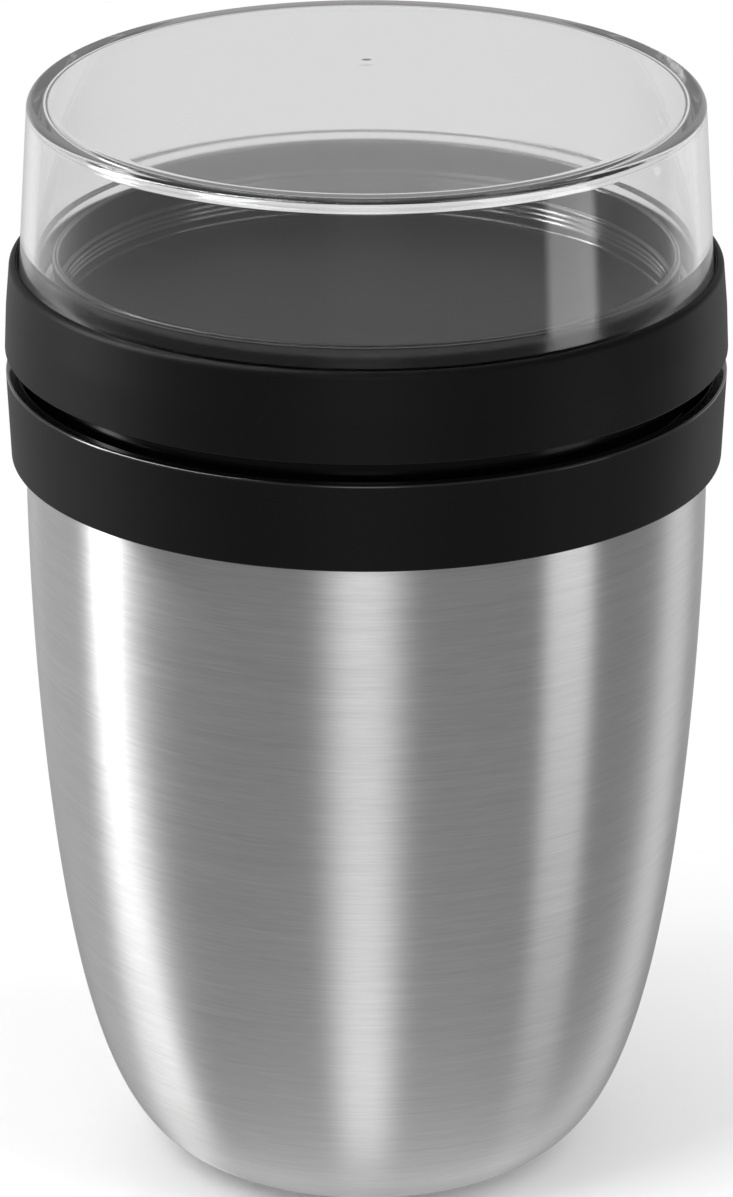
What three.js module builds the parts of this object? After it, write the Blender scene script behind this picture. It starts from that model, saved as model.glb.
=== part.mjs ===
// Insulated lunch pot: a double-walled steel pot, a screw-in lid with a shallow tray, and a clear cover.
// Millimetres, +Z up. The axis of the pot is the Z axis and the pot stands on Z = 0.

import * as THREE from 'three';

// Facets of every turned piece, and steps in a rounded edge
const FACETS = 40;
const EDGE_STEPS = 3;

// Clearance between neighbouring pieces
const FIT = 0.3;

// Steel sheet and the rule of the bowl: radius against height
const SHEET = 0.6;
const BOWL_RADIUS = 50.42;
const BOWL_HEIGHT = 107.45;
const BOWL_CURVE = 1.598;
const BOWL_FULLNESS = 5.748;
const BOWL_CUT = 1.2;
const BOWL_RINGS = 13;

// Outer shell: standing land, recess under the base, seal-off dimple, groove for the collar
const LAND_INNER = 19.2;
const LAND_SLOPE = 2.2;
const RECESS_DEPTH = 1.8;
const DIMPLE_RADIUS = 5;
const DIMPLE_DEPTH = 1.6;
const DIMPLE_SLOPE = 2;
const SEAL_HOLE_RADIUS = 1.5;
const SHELL_TOP = 113.4;
const GROOVE_DROP = 1.5;
const GROOVE_WIDTH = 1;
const GROOVE_DEPTH = 0.52;
const GROOVE_SLOPE = 0.4;

// Inner vessel, the vacuum gap round it and what sits in that gap
const VACUUM_GAP = 4.42;
const VESSEL_BASE = 8;
const VESSEL_RINGS = 11;
const MOUTH_ROUND = 1.6;
const MOUTH_SETBACK = 0.12;
const GETTER_RADIUS = 4;
const GETTER_HEIGHT = 2;
const GETTER_OFFSET = 12;
const BEAD_RADIUS = 3.2;
const BEAD_HEIGHT = 1.1;

// Collar: the lower black ring
const COLLAR_SKIRT = 3.1;
const COLLAR_WALL = 1.88;
const COLLAR_FLARE = 0.7;
const COLLAR_EDGE = 0.7;
const COLLAR_CHAMFER = 0.3;
const COLLAR_LIP = 6.45;
const COLLAR_LIP_WALL = 1.9;
const COLLAR_LIP_EDGE = 0.5;
const COLLAR_FLANGE = 1.6;
const COLLAR_FLANGE_WIDTH = 1.52;
const COLLAR_SNAP = 0.47;
const COLLAR_SEAL_HEIGHT = 0.75;

// Pot seal: a stepped ring on the nose of the lid
const POT_SEAL_FOOT = 2.35;
const POT_SEAL_BRIM = 1.4;

// Tray lid: neck, outer ring, channel for the cover, upstand and tray
const THREAD_GAP = 1.2;
const NECK_WALL = 2.4;
const NOSE_INSET = 1.5;
const NOSE_WALL = 1.3;
const NOSE_HEIGHT = 2;
const LEDGE_WIDTH = 1.4;
const LEDGE_HEIGHT = 1.4;
const RING_GAP = 3.1;
const RING_HEIGHT = 13.6;
const RING_PROUD = 0.1;
const RING_BELLY = 0.25;
const RING_DRAFT = 0.8;
const RING_LIP_WALL = 1.2;
const RING_SKIRT_WALL = 1.5;
const RING_EDGE = 0.9;
const RING_CHAMFER = 0.3;
const CHANNEL_DEPTH = 6;
const CHANNEL_ROOF = 2.8;
const TRAY_DEPTH = 7;
const TRAY_FLOOR_THICKNESS = 2;
const TRAY_CORNER = 0.6;
const TRAY_STEP_HEIGHT = 4.4;
const TRAY_STEP_WIDTH = 0.4;
const TRAY_DRAFT = 0.1;
const UPSTAND_WALL = 1.5;
const UPSTAND_RISE = 2.1;

// Clear cover and the seal that it slides over
const COVER_RISE = 24.2;
const COVER_WALL = 1.9;
const COVER_DRAFT = 1.35;
const COVER_EDGE = 1.6;
const COVER_INNER_EDGE = 1.8;
const COVER_CHAMFER = 0.4;
const COVER_SKIRT_WALL = 3.2;
const COVER_SEAL_WALL = 1.3;
const COVER_SEAL_HEIGHT = 3.8;

// Heights that follow from the stack, from the steel mouth up to the cover
const mouthTop = SHELL_TOP + FIT + SHEET;
const collarBottom = SHELL_TOP - COLLAR_SKIRT;
const collarSealTop = mouthTop + FIT + COLLAR_SEAL_HEIGHT;
const collarFlangeBottom = collarSealTop + FIT;
const collarFlangeTop = collarFlangeBottom + COLLAR_FLANGE;
const collarTop = collarFlangeTop + COLLAR_LIP;
const potSealFoot = mouthTop + FIT;
const noseBottom = potSealFoot + POT_SEAL_FOOT + FIT;
const neckShoulder = noseBottom + NOSE_HEIGHT;
const ledgeBottom = neckShoulder + FIT / 2;
const ledgeTop = ledgeBottom + LEDGE_HEIGHT;
const ringBottom = collarTop + RING_GAP;
const ringTop = ringBottom + RING_HEIGHT;
const channelFloor = ringTop - CHANNEL_DEPTH;
const trayFloor = ringTop - TRAY_DEPTH;
const trayUnderside = trayFloor - TRAY_FLOOR_THICKNESS;
const trayStep = trayFloor + TRAY_STEP_HEIGHT;
const upstandTop = ringTop + UPSTAND_RISE;
const coverBottom = channelFloor + 2 * FIT;
const coverTop = ringTop + COVER_RISE;
const coverSkirtTop = upstandTop + FIT;

// Radii that follow from the steel bowl, outwards to the rings and back in to the tray
const vesselRadius = BOWL_RADIUS - VACUUM_GAP;
const mouthFlangeRadius = BOWL_RADIUS - MOUTH_SETBACK;
const recessRadius = LAND_INNER - LAND_SLOPE;
const sleeveBore = BOWL_RADIUS + FIT;
const collarBottomRadius = sleeveBore + COLLAR_WALL;
const collarTopRadius = collarBottomRadius + COLLAR_FLARE;
const collarBore = collarTopRadius - COLLAR_LIP_WALL;
const collarFlangeRadius = sleeveBore - COLLAR_FLANGE_WIDTH;
const neckRadius = collarBore - THREAD_GAP;
const neckBore = neckRadius - NECK_WALL;
const noseRadius = collarFlangeRadius - NOSE_INSET;
const noseBore = noseRadius - NOSE_WALL;
const ledgeRadius = noseBore - LEDGE_WIDTH;
const ringBottomRadius = collarTopRadius + RING_PROUD;
const ringBellyRadius = ringBottomRadius - RING_BELLY;
const ringTopRadius = ringBottomRadius - RING_DRAFT;
const ringBore = ringTopRadius - RING_LIP_WALL;
const ringSkirtBore = ringBottomRadius - RING_SKIRT_WALL;
const coverSkirtRadius = ringBore - FIT;
const coverTopRadius = coverSkirtRadius - COVER_DRAFT;
const coverSkirtBore = coverSkirtRadius - COVER_SKIRT_WALL;
const coverSealOuter = coverSkirtBore - FIT;
const coverSealInner = coverSealOuter - COVER_SEAL_WALL;
const upstandRadius = coverSealInner - FIT;
const trayRadius = upstandRadius - UPSTAND_WALL;

// Finishes
const FINISHES = {
  steel: { color: 0xb9bbbc, roughness: 0.32, metalness: 1 },
  plainSteel: { color: 0xa9abac, roughness: 0.45, metalness: 1 },
  black: { color: 0x1c1c1e, roughness: 0.42, metalness: 0 },
  clear: { color: 0xe6ebeb, roughness: 0.05, metalness: 0, transparent: true, opacity: 0.28 },
  silicone: { color: 0xc9ccca, roughness: 0.6, metalness: 0 },
  foam: { color: 0xe8e4d8, roughness: 0.9, metalness: 0 },
  getter: { color: 0x77797b, roughness: 0.7, metalness: 0.6 },
  solder: { color: 0x3f4a46, roughness: 0.25, metalness: 0 },
};

const group = new THREE.Group();
group.name = 'insulated_lunch_pot';

function add(name, geometry, finish) {
  const mesh = new THREE.Mesh(geometry, new THREE.MeshStandardMaterial(FINISHES[finish]));
  mesh.name = name;
  group.add(mesh);
  return mesh;
}

// A piece turned about Z from a profile of [radius, height] points that runs out along the
// bottom, up the outside and back down the inside.
function turn(name, profile, finish) {
  const points = profile.map(([radius, height]) => new THREE.Vector2(radius, height));
  if (points[0].x > 0) points.push(points[0].clone());
  const geometry = new THREE.LatheGeometry(points, FACETS);
  geometry.rotateX(Math.PI / 2);
  return add(name, geometry, finish);
}

// Points of a rounded edge. Angles are in degrees, 0 outwards and 90 up.
function round(radius, height, size, from, to) {
  const points = [];
  for (let step = 0; step <= EDGE_STEPS; step += 1) {
    const angle = THREE.MathUtils.degToRad(from + ((to - from) * step) / EDGE_STEPS);
    points.push([radius + size * Math.cos(angle), height + size * Math.sin(angle)]);
  }
  return points;
}

// The bowl's rule: how wide it is at a height above its own base.
function bowlRadius(height, widest, depth) {
  const rest = Math.max(0, 1 - (height + BOWL_CUT) / depth);
  return widest * (1 - rest ** BOWL_CURVE) ** (1 / BOWL_FULLNESS);
}

// The bowl's wall from its base up to a height, with the rings closer together low down.
function bowl(base, top, widest, depth, rings) {
  const points = [];
  for (let ring = 0; ring <= rings; ring += 1) {
    const height = (top - base) * (ring / rings) ** 2;
    points.push([bowlRadius(height, widest, depth), base + height]);
  }
  return points;
}

// Sheet metal: closes an outline into a wall of even thickness, on the left of the way it runs.
function sheet(outline, thickness) {
  const inside = outline.map((point, index) => {
    const before = outline[Math.max(0, index - 1)];
    const after = outline[Math.min(outline.length - 1, index + 1)];
    const into = new THREE.Vector2(point[0] - before[0], point[1] - before[1]);
    const out = new THREE.Vector2(after[0] - point[0], after[1] - point[1]);
    if (index === 0) into.copy(out);
    if (index === outline.length - 1) out.copy(into);
    into.normalize();
    out.normalize();
    const middle = into.clone().add(out).normalize();
    const reach = thickness / middle.dot(out);
    return [point[0] - middle.y * reach, point[1] + middle.x * reach];
  });
  return [...outline, ...inside.reverse()];
}

// Outer shell: one drawn cup with a recessed base, a seal-off dimple and a rolled groove under the collar
const grooveBottom = SHELL_TOP - GROOVE_DROP - GROOVE_WIDTH / 2;
const grooveTop = grooveBottom + GROOVE_WIDTH;
const dimpleTop = RECESS_DEPTH + DIMPLE_DEPTH;
const shellOutline = [
  [SEAL_HOLE_RADIUS, dimpleTop],
  [DIMPLE_RADIUS, dimpleTop],
  [DIMPLE_RADIUS + DIMPLE_SLOPE, RECESS_DEPTH],
  [recessRadius, RECESS_DEPTH],
  [LAND_INNER, 0],
  ...bowl(0, grooveBottom - GROOVE_SLOPE, BOWL_RADIUS, BOWL_HEIGHT, BOWL_RINGS),
  [BOWL_RADIUS - GROOVE_DEPTH, grooveBottom],
  [BOWL_RADIUS - GROOVE_DEPTH, grooveTop],
  [BOWL_RADIUS, grooveTop + GROOVE_SLOPE],
  [BOWL_RADIUS, SHELL_TOP],
];
turn('outer_shell', sheet(shellOutline, SHEET), 'steel');

// Inner vessel: a smaller bowl by the same rule, with a flange at the mouth that is welded to the shell
const flangeBottom = SHELL_TOP + FIT;
const vesselOutline = [
  [0, VESSEL_BASE],
  ...bowl(VESSEL_BASE, flangeBottom - MOUTH_ROUND, vesselRadius, BOWL_HEIGHT - VESSEL_BASE, VESSEL_RINGS),
  ...round(vesselRadius + MOUTH_ROUND, flangeBottom - MOUTH_ROUND, MOUTH_ROUND, 180, 90).slice(1),
  [mouthFlangeRadius, flangeBottom],
];
turn('inner_vessel', sheet(vesselOutline, SHEET), 'plainSteel');

// Getter: a puck in the vacuum gap, on the floor of the shell
const getterGeometry = new THREE.CylinderGeometry(GETTER_RADIUS, GETTER_RADIUS, GETTER_HEIGHT, FACETS / 2);
getterGeometry.rotateX(Math.PI / 2);
getterGeometry.translate(GETTER_OFFSET, 0, RECESS_DEPTH + SHEET + FIT + GETTER_HEIGHT / 2);
add('getter', getterGeometry, 'getter');

// Sealing bead: the drop of glass solder that closes the hole in the dimple
const beadTop = dimpleTop - FIT;
turn('sealing_bead', [
  [0, beadTop - BEAD_HEIGHT],
  [BEAD_RADIUS * 0.6, beadTop - BEAD_HEIGHT * 0.9],
  [BEAD_RADIUS * 0.93, beadTop - BEAD_HEIGHT * 0.5],
  [BEAD_RADIUS, beadTop],
  [0, beadTop],
], 'solder');

// Outer bottom: the disc that hides the seal-off, set back from the standing land
turn('outer_bottom', [
  [0, RECESS_DEPTH - FIT - SHEET],
  [recessRadius - FIT, RECESS_DEPTH - FIT - SHEET],
  [recessRadius - FIT, RECESS_DEPTH - FIT],
  [0, RECESS_DEPTH - FIT],
], 'plainSteel');

// Collar: grips the shell by a bead in its groove, covers the mouth and takes the lid's neck
const snapBottom = grooveBottom + FIT / 2;
const snapTop = grooveTop - FIT / 2;
turn('collar', [
  [sleeveBore + COLLAR_CHAMFER, collarBottom],
  [collarBottomRadius - COLLAR_CHAMFER, collarBottom],
  [collarBottomRadius, collarBottom + COLLAR_CHAMFER],
  ...round(collarTopRadius - COLLAR_EDGE, collarTop - COLLAR_EDGE, COLLAR_EDGE, 0, 90),
  ...round(collarBore + COLLAR_LIP_EDGE, collarTop - COLLAR_LIP_EDGE, COLLAR_LIP_EDGE, 90, 180),
  [collarBore, collarFlangeTop],
  [collarFlangeRadius, collarFlangeTop],
  [collarFlangeRadius, collarFlangeBottom],
  [sleeveBore, collarFlangeBottom],
  [sleeveBore, snapTop + FIT],
  [sleeveBore - COLLAR_SNAP, snapTop],
  [sleeveBore - COLLAR_SNAP, snapBottom],
  [sleeveBore, snapBottom - FIT],
  [sleeveBore, collarBottom + COLLAR_CHAMFER],
], 'black');

// Collar seal: a flat ring between the steel mouth and the collar's flange
turn('collar_seal', [
  [collarFlangeRadius + FIT / 3, mouthTop + FIT],
  [mouthFlangeRadius, mouthTop + FIT],
  [mouthFlangeRadius, collarSealTop],
  [collarFlangeRadius + FIT / 3, collarSealTop],
], 'silicone');

// Pot seal: its foot presses on the steel mouth and its brim on the collar's flange
const potSealWaist = collarFlangeRadius - FIT;
const potSealBrim = neckShoulder - FIT;
turn('pot_seal', [
  [noseBore + FIT, potSealFoot],
  [potSealWaist, potSealFoot],
  [potSealWaist, potSealBrim - POT_SEAL_BRIM],
  [neckRadius - FIT, potSealBrim - POT_SEAL_BRIM],
  [neckRadius - FIT, potSealBrim],
  [noseRadius + FIT, potSealBrim],
  [noseRadius + FIT, potSealFoot + POT_SEAL_FOOT],
  [noseBore + FIT, potSealFoot + POT_SEAL_FOOT],
], 'silicone');

// Tray lid: one moulding with a neck for the collar, an outer ring, a channel for the cover and a tray
const ringBelly = (ringBottom + ringTop) / 2;
const slotTop = channelFloor - CHANNEL_ROOF;
const upstandRound = (upstandRadius - trayRadius - TRAY_STEP_WIDTH - 2 * TRAY_DRAFT) / 2;
const upstandMiddle = upstandRadius - upstandRound;
turn('tray_lid', [
  [0, trayUnderside],
  [neckBore, trayUnderside],
  [neckBore, ledgeTop],
  [ledgeRadius, ledgeTop],
  [ledgeRadius, ledgeBottom],
  [noseBore, ledgeBottom],
  [noseBore, noseBottom],
  [noseRadius, noseBottom],
  [noseRadius, neckShoulder],
  [neckRadius, neckShoulder],
  [neckRadius, slotTop],
  [ringSkirtBore, slotTop],
  [ringSkirtBore, ringBottom],
  [ringBottomRadius - RING_CHAMFER, ringBottom],
  [ringBottomRadius, ringBottom + RING_CHAMFER],
  [ringBellyRadius, ringBelly],
  ...round(ringTopRadius - RING_EDGE, ringTop - RING_EDGE, RING_EDGE, 0, 90),
  [ringBore, ringTop],
  [ringBore, channelFloor],
  [upstandRadius, channelFloor],
  ...round(upstandMiddle, upstandTop - upstandRound, upstandRound, 0, 180),
  [trayRadius + TRAY_STEP_WIDTH + TRAY_DRAFT, trayStep],
  [trayRadius + TRAY_DRAFT, trayStep],
  ...round(trayRadius - TRAY_CORNER, trayFloor + TRAY_CORNER, TRAY_CORNER, 0, -90),
  [0, trayFloor],
], 'black');

// Lid liner: the plate that closes the lid from below, inside its nose
const linerTop = ledgeBottom - FIT;
turn('lid_liner', [
  [0, noseBottom + FIT],
  [noseBore - FIT, noseBottom + FIT],
  [noseBore - FIT, linerTop],
  [0, linerTop],
], 'black');

// Lid foam: the insulating disc between the liner and the tray
turn('lid_foam', [
  [0, linerTop + FIT],
  [ledgeRadius - FIT, linerTop + FIT],
  [ledgeRadius - FIT, ledgeTop + FIT],
  [neckBore - FIT, ledgeTop + FIT],
  [neckBore - FIT, trayUnderside - FIT],
  [0, trayUnderside - FIT],
], 'foam');

// Cover seal: a ring round the upstand that the cover's skirt slides over
const coverSealFoot = channelFloor + FIT;
turn('cover_seal', [
  [coverSealInner, coverSealFoot],
  [coverSealOuter, coverSealFoot],
  [coverSealOuter, coverSealFoot + COVER_SEAL_HEIGHT * 0.8],
  [coverSealInner, coverSealFoot + COVER_SEAL_HEIGHT],
], 'silicone');

// Clear cover: a drafted dome with a thicker skirt that stands in the channel
const coverEdgeHeight = coverTop - COVER_EDGE;
const coverInnerTop = coverTop - COVER_WALL;
turn('clear_cover', [
  [coverSkirtBore, coverBottom],
  [coverSkirtRadius - COVER_CHAMFER, coverBottom],
  [coverSkirtRadius, coverBottom + COVER_CHAMFER],
  [coverSkirtRadius, ringTop],
  ...round(coverTopRadius - COVER_EDGE, coverEdgeHeight, COVER_EDGE, 0, 90),
  [0, coverTop],
  [0, coverInnerTop],
  ...round(coverTopRadius - COVER_WALL - COVER_INNER_EDGE, coverInnerTop - COVER_INNER_EDGE, COVER_INNER_EDGE, 90, 0),
  [coverSkirtRadius - COVER_WALL, coverSkirtTop + FIT],
  [coverSkirtBore, coverSkirtTop],
], 'clear');

export default group;
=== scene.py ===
"""Insulated lunch pot: a brushed steel pot, a black collar, a screw-in tray lid and a clear cover.

Sizes of the pot are millimetres, and those of the studio are metres unless they say otherwise. Meshes
are made in metres, round the Z axis, and stand on Z = 0.
"""

from __future__ import annotations

import cmath
import logging
import math
from dataclasses import dataclass, field
from enum import Enum
from typing import Any

import bmesh
import bpy
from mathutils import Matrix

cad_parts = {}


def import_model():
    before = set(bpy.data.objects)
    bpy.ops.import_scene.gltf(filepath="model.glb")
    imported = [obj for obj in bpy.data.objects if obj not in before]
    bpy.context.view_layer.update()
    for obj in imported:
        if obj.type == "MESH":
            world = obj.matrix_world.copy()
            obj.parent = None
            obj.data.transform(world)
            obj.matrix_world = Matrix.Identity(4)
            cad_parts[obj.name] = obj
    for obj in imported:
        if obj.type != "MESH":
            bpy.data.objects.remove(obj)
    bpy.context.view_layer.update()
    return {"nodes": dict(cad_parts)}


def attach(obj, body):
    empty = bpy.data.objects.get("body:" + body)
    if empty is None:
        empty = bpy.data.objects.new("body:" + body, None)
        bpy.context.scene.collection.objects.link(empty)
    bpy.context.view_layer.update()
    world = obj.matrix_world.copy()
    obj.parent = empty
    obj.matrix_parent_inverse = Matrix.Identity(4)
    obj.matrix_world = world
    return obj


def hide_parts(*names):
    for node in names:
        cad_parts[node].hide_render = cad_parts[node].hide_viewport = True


LOG = logging.getLogger("lunch_pot")

# One millimetre in metres.
MM = 0.001

# Faces round the axis of the shell and of most turned pieces.
FACETS = 192

# A point nearer to the axis than this lies on it, in millimetres.
ON_AXIS = 1e-6

# The flat that is held on each side of a rounding, so that smooth shading stays even, in millimetres.
SUPPORT = 0.12

# Points of a bent grid that are nearer to each other than this become one, in millimetres.
WELD = 0.002

# The average of a noise, and how strong each finer layer is as a share of the one before.
NOISE_AVERAGE = 0.5
NOISE_ROUGHNESS = 0.55

# The colour sockets of the Mix node, which has a set of sockets for each kind of data.
MIX_FIRST = 6
MIX_SECOND = 7
MIX_RESULT = 2

Point = tuple[float, float]
Vector = tuple[float, float, float]
Colour = tuple[float, float, float, float]
Inputs = dict[Any, Any]


class Body(Enum):
    """The moving bodies of the pot."""

    POT = "pot"
    SEAL = "lid_seal"
    LID = "lid"
    COVER = "cover"


class Slot(Enum):
    """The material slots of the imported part."""

    BRUSHED = "brushed_steel"
    PLAIN = "plain_steel"
    BLACK = "black_plastic"
    CLEAR = "clear_plastic"
    SILICONE = "silicone"
    FOAM = "foam"
    GETTER = "getter_metal"
    SOLDER = "glass_solder"


class Value:
    """A number socket in a node tree that Python operators can work on."""

    def __init__(self, graph: Graph, socket: bpy.types.NodeSocket) -> None:
        """Keep the tree and the socket.

        Args:
            graph: The tree that new Math nodes go into.
            socket: The output socket that holds the number.
        """
        self.graph = graph
        self.socket = socket

    def __add__(self, other: Value | float) -> Value:
        """Add."""
        return self.graph.math("ADD", self, other)

    __radd__ = __add__

    def __mul__(self, other: Value | float) -> Value:
        """Multiply."""
        return self.graph.math("MULTIPLY", self, other)

    __rmul__ = __mul__

    def __sub__(self, other: Value | float) -> Value:
        """Subtract."""
        return self.graph.math("SUBTRACT", self, other)

    def __rsub__(self, other: float) -> Value:
        """Subtract from a number."""
        return self.graph.math("SUBTRACT", other, self)

    def __truediv__(self, other: Value | float) -> Value:
        """Divide."""
        return self.graph.math("DIVIDE", self, other)

    def __rtruediv__(self, other: float) -> Value:
        """Divide a number."""
        return self.graph.math("DIVIDE", other, self)

    def __pow__(self, other: Value | float) -> Value:
        """Raise to a power."""
        return self.graph.math("POWER", self, other)

    def __abs__(self) -> Value:
        """Drop the sign."""
        return self.graph.math("ABSOLUTE", self)

    def at_least(self, other: Value | float) -> Value:
        """Take the larger of two values."""
        return self.graph.math("MAXIMUM", self, other)

    def at_most(self, other: Value | float) -> Value:
        """Take the smaller of two values."""
        return self.graph.math("MINIMUM", self, other)

    def below(self, other: Value | float) -> Value:
        """Give 1 where this value is below the other, or else 0."""
        return self.graph.math("LESS_THAN", self, other)

    def swing(self, amount: float) -> Value:
        """Turn a noise into a swing about zero."""
        return (self - NOISE_AVERAGE) * amount

    def smooth(self, low: float, high: float) -> Value:
        """Rise smoothly from 0 to 1.

        Args:
            low: The value at which the rise starts.
            high: The value at which it ends.

        Returns:
            The eased share, held between 0 and 1.
        """
        sockets = {0: self, 1: low, 2: high, 3: 0.0, 4: 1.0}
        return self.graph.value("ShaderNodeMapRange", sockets, interpolation_type="SMOOTHSTEP")


class Graph:
    """A node tree of a material, a world or a Geometry Nodes group."""

    def __init__(self, tree: bpy.types.NodeTree) -> None:
        """Keep the tree.

        Args:
            tree: The node tree to add nodes to.
        """
        self.tree = tree

    def node(self, kind: str, inputs: Inputs | None = None, **settings: Any) -> bpy.types.Node:
        """Add one node.

        Args:
            kind: The node's type name.
            inputs: Values or links by socket name or index.
            settings: Attributes of the node, set before its sockets.

        Returns:
            The new node.
        """
        node = self.tree.nodes.new(kind)
        for name, setting in settings.items():
            setattr(node, name, setting)
        for key, entry in (inputs or {}).items():
            self.feed(node.inputs[key], entry)
        return node

    def feed(self, socket: bpy.types.NodeSocket, entry: Any) -> None:
        """Link or set one input.

        Args:
            socket: The input socket.
            entry: A wrapped value, a socket or a plain value.
        """
        if isinstance(entry, Value):
            self.tree.links.new(entry.socket, socket)
        elif isinstance(entry, bpy.types.NodeSocket):
            self.tree.links.new(entry, socket)
        else:
            socket.default_value = entry

    def value(
        self, kind: str, inputs: Inputs | None = None, output: int | str = 0, **settings: Any
    ) -> Value:
        """Add a node and wrap one of its outputs.

        Args:
            kind: The node's type name.
            inputs: Values or links by socket name or index.
            output: The name or index of the output.
            settings: Attributes of the node.

        Returns:
            The wrapped output.
        """
        return Value(self, self.node(kind, inputs, **settings).outputs[output])

    def math(self, operation: str, *operands: Value | float) -> Value:
        """Add a Math node.

        Args:
            operation: What the node works out.
            operands: Its inputs in order.

        Returns:
            The result.
        """
        return self.value("ShaderNodeMath", dict(enumerate(operands)), operation=operation)

    def mix(self, share: Value, first: Colour, second: Colour) -> Value:
        """Mix two colours.

        Args:
            share: How much of the second colour shows.
            first: The first colour.
            second: The second colour.

        Returns:
            The mixed colour.
        """
        sockets = {0: share, MIX_FIRST: first, MIX_SECOND: second}
        return self.value("ShaderNodeMix", sockets, MIX_RESULT, data_type="RGBA")

    def blend(
        self, share: Value, first: bpy.types.Node, second: bpy.types.Node
    ) -> bpy.types.Node:
        """Mix two shaders.

        Args:
            share: How much of the second shader shows.
            first: The first shader.
            second: The second shader.

        Returns:
            The node with the mixed shader.
        """
        sockets = {0: share, 1: first.outputs[0], 2: second.outputs[0]}
        return self.node("ShaderNodeMixShader", sockets)

    def split(self, vector: bpy.types.NodeSocket) -> list[Value]:
        """Take a vector apart.

        Args:
            vector: The vector.

        Returns:
            Its X, Y and Z.
        """
        parts = self.node("ShaderNodeSeparateXYZ", {0: vector})
        return [Value(self, output) for output in parts.outputs]

    def polar(self, radius: Value, angle: Value, height: Value) -> bpy.types.NodeSocket:
        """Give the point at a distance from the axis, an angle and a height.

        Args:
            radius: The distance from the Z axis.
            angle: The angle about it in radians.
            height: The height along it.

        Returns:
            The point.
        """
        across = radius * self.math("COSINE", angle)
        deep = radius * self.math("SINE", angle)
        return self.node("ShaderNodeCombineXYZ", {0: across, 1: deep, 2: height}).outputs[0]

    def inputs(self, sizes: dict[str, float]) -> tuple[dict[str, Value], dict[str, float]]:
        """Give a Geometry Nodes group its named inputs and its output.

        Args:
            sizes: The inputs' names with their numbers.

        Returns:
            The inputs as values, and their numbers by socket identifier.
        """
        face = self.tree.interface
        settings = {}
        for name, number in sizes.items():
            socket = face.new_socket(name, in_out="INPUT", socket_type="NodeSocketFloat")
            settings[socket.identifier] = number
        face.new_socket("Geometry", in_out="OUTPUT", socket_type="NodeSocketGeometry")
        given = self.node("NodeGroupInput")
        return {name: Value(self, given.outputs[name]) for name in sizes}, settings

    def grid(self, columns: int, rows: int, length: float) -> tuple[bpy.types.Node, Value, Value]:
        """Add a flat grid for a rule to bend.

        Args:
            columns: Faces along X, where the grid is 1 long.
            rows: Faces along Y.
            length: The grid's length along Y.

        Returns:
            The grid, and the distances of its points from its first column and its first row.
        """
        sizes = {"Size X": 1.0, "Size Y": length, "Vertices X": columns + 1, "Vertices Y": rows + 1}
        grid = self.node("GeometryNodeMeshGrid", sizes)
        across, along, _ = self.split(self.node("GeometryNodeInputPosition").outputs[0])
        return grid, across + 0.5, along + length / 2

    def bend(self, grid: bpy.types.Node, point: bpy.types.NodeSocket) -> bpy.types.Node:
        """Move a grid's points and merge those that meet.

        Args:
            grid: The grid.
            point: The new place of each point.

        Returns:
            The node with the bent grid.
        """
        places = {"Geometry": grid.outputs[0], "Position": point}
        moved = self.node("GeometryNodeSetPosition", places)
        merging = {"Geometry": moved.outputs[0], "Distance": WELD * MM}
        return self.node("GeometryNodeMergeByDistance", merging)

    def finish(self, last: bpy.types.Node, material: bpy.types.Material) -> None:
        """End a Geometry Nodes group with a smooth, real and painted mesh.

        Args:
            last: The node whose geometry is finished.
            material: The material to set.
        """
        real = self.node("GeometryNodeRealizeInstances", {0: last.outputs[0]})
        smooth = self.node("GeometryNodeSetShadeSmooth", {"Geometry": real.outputs[0]})
        paint = {"Geometry": smooth.outputs[0], "Material": material}
        painted = self.node("GeometryNodeSetMaterial", paint)
        self.node("NodeGroupOutput", {0: painted.outputs[0]})


class Surface(Graph):
    """The node tree of a material, with the Principled shader that a finish dresses."""

    def __init__(self, tree: bpy.types.NodeTree) -> None:
        """Keep the tree and add its shader.

        Args:
            tree: The material's node tree.
        """
        super().__init__(tree)
        self.shader = self.node("ShaderNodeBsdfPrincipled")

    def dress(self, **sockets: Value | float | Colour) -> None:
        """Link or set the shader's sockets.

        Args:
            sockets: Values or links by socket name, with _ for a space.
        """
        for name, entry in sockets.items():
            self.feed(self.shader.inputs[name.replace("_", " ")], entry)

    def bump(self, relief: Value, strength: float, depth: float) -> None:
        """Feed a relief into the shader's normal.

        Args:
            relief: The relief, from 0 to 1.
            strength: The share of the relief that shows.
            depth: The depth of the relief in millimetres.
        """
        sockets = {"Strength": strength, "Distance": depth * MM, "Height": relief}
        self.dress(Normal=self.value("ShaderNodeBump", sockets, "Normal"))

    def place(self, scale: Vector) -> bpy.types.NodeSocket:
        """Give the piece's own coordinates at a scale.

        Args:
            scale: Repeats for each metre along X, Y and Z.

        Returns:
            The scaled coordinates.
        """
        own = self.node("ShaderNodeTexCoord").outputs["Object"]
        return self.node("ShaderNodeMapping", {"Vector": own, "Scale": scale}).outputs["Vector"]

    def noise(self, level: float, up: float, detail: float) -> Value:
        """Add a noise on the piece's own coordinates.

        Args:
            level: Repeats for each metre along X and Y.
            up: Repeats for each metre along Z.
            detail: How many finer layers the noise has.

        Returns:
            The noise, from 0 to 1.
        """
        place = self.place((level, level, up))
        sockets = {"Vector": place, "Scale": 1.0, "Detail": detail, "Roughness": NOISE_ROUGHNESS}
        return self.value("ShaderNodeTexNoise", sockets)

    def clouds(self, repeats: float, detail: float) -> Value:
        """Add a noise that is alike in every direction."""
        return self.noise(repeats, repeats, detail)

    def spot(self) -> tuple[Value, Value]:
        """Give the distance from the axis and the height, in millimetres.

        Returns:
            The distance and the height.
        """
        across, deep, up = self.split(self.place((1 / MM, 1 / MM, 1 / MM)))
        return (across**2.0 + deep**2.0) ** 0.5, up


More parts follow.
